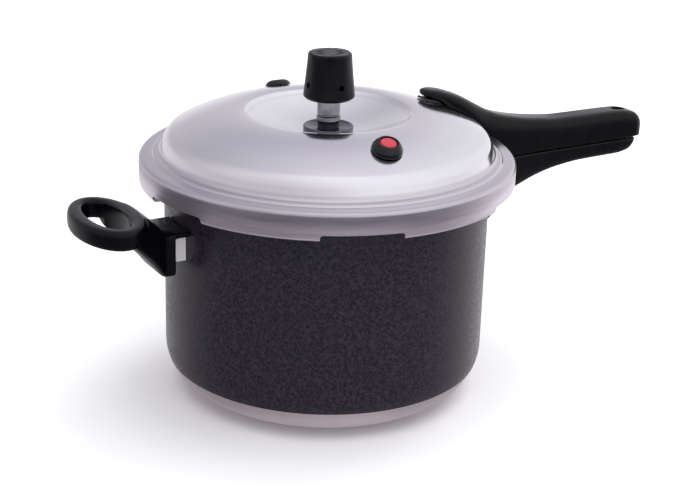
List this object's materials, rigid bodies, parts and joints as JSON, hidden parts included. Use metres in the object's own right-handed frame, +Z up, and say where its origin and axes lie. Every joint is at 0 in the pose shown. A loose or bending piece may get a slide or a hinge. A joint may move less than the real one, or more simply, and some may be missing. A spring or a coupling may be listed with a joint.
{
  "type": "stovetop pressure cooker",
  "caption": "Aluminium pressure cooker with an outer bayonet lid, long two-part handle, looped side handle, lift-off control weight and pressure indicator.",
  "frame": {"origin": "centre of the pot's flat underside", "axes": "+Z up, +X out along the long handle, side handle towards -X"},
  "size_m": [0.4246, 0.2394, 0.2196],
  "materials": {
    "coated_aluminium": "dark mottled coating outside, bare machined foot",
    "phenolic": "satin black phenolic",
    "weight_phenolic": "satin black phenolic",
    "bare_aluminium": "pressed, satin",
    "rivet_aluminium": "satin",
    "polished_aluminium": "polished",
    "screw_steel": "plated",
    "strap_steel": "dark plated",
    "vent_chrome": "chromed",
    "gasket_rubber": "matt",
    "valve_rubber": "matt black",
    "red_plastic": "matt red",
    "slug_brass": "turned"
  },
  "bodies": {
    "pot": {"pot_body": "coated_aluminium", "lower_handle": "phenolic", "lower_handle_bracket": "bare_aluminium", "lower_handle_screw": "screw_steel", "lower_bracket_rivet_left": "rivet_aluminium", "lower_bracket_rivet_right": "rivet_aluminium", "side_handle": "phenolic", "side_handle_bracket": "bare_aluminium", "side_handle_screw": "screw_steel", "side_bracket_rivet_left": "rivet_aluminium", "side_bracket_rivet_right": "rivet_aluminium"},
    "lid": {"lid_shell": "polished_aluminium", "lid_gasket": "gasket_rubber", "upper_handle": "phenolic", "upper_handle_bracket": "strap_steel", "upper_handle_screw_front": "screw_steel", "upper_handle_screw_rear": "screw_steel", "vent_base_dish": "vent_chrome", "vent_stem": "vent_chrome", "vent_seal_washer": "valve_rubber", "vent_nut": "screw_steel", "indicator_housing": "valve_rubber", "safety_plug": "valve_rubber"},
    "indicator": {"indicator_pin": "red_plastic", "indicator_clip": "screw_steel"},
    "needle": {"vent_needle": "vent_chrome"},
    "weight": {"weight_cap": "weight_phenolic", "weight_core": "slug_brass", "weight_retainer": "screw_steel"}
  },
  "joints": [
    {"name": "lid_turn", "type": "hinge", "parent": "pot", "child": "lid", "pos_m": [0, 0, 0.15], "axis": [0, 0, 1], "range_deg": [0, 30]},
    {"name": "indicator_rise", "type": "slide", "parent": "lid", "child": "indicator", "axis": [-0.0253, -0.3216, 0.9465], "range_m": [0, 0.0035]},
    {"name": "weight_lift", "type": "slide", "parent": "lid", "child": "needle", "axis": [0, 0, 1], "range_m": [0, 0.03]},
    {"name": "weight_spin", "type": "hinge", "parent": "needle", "child": "weight", "pos_m": [0, 0, 0.2], "axis": [0, 0, 1], "continuous": true}
  ]
}
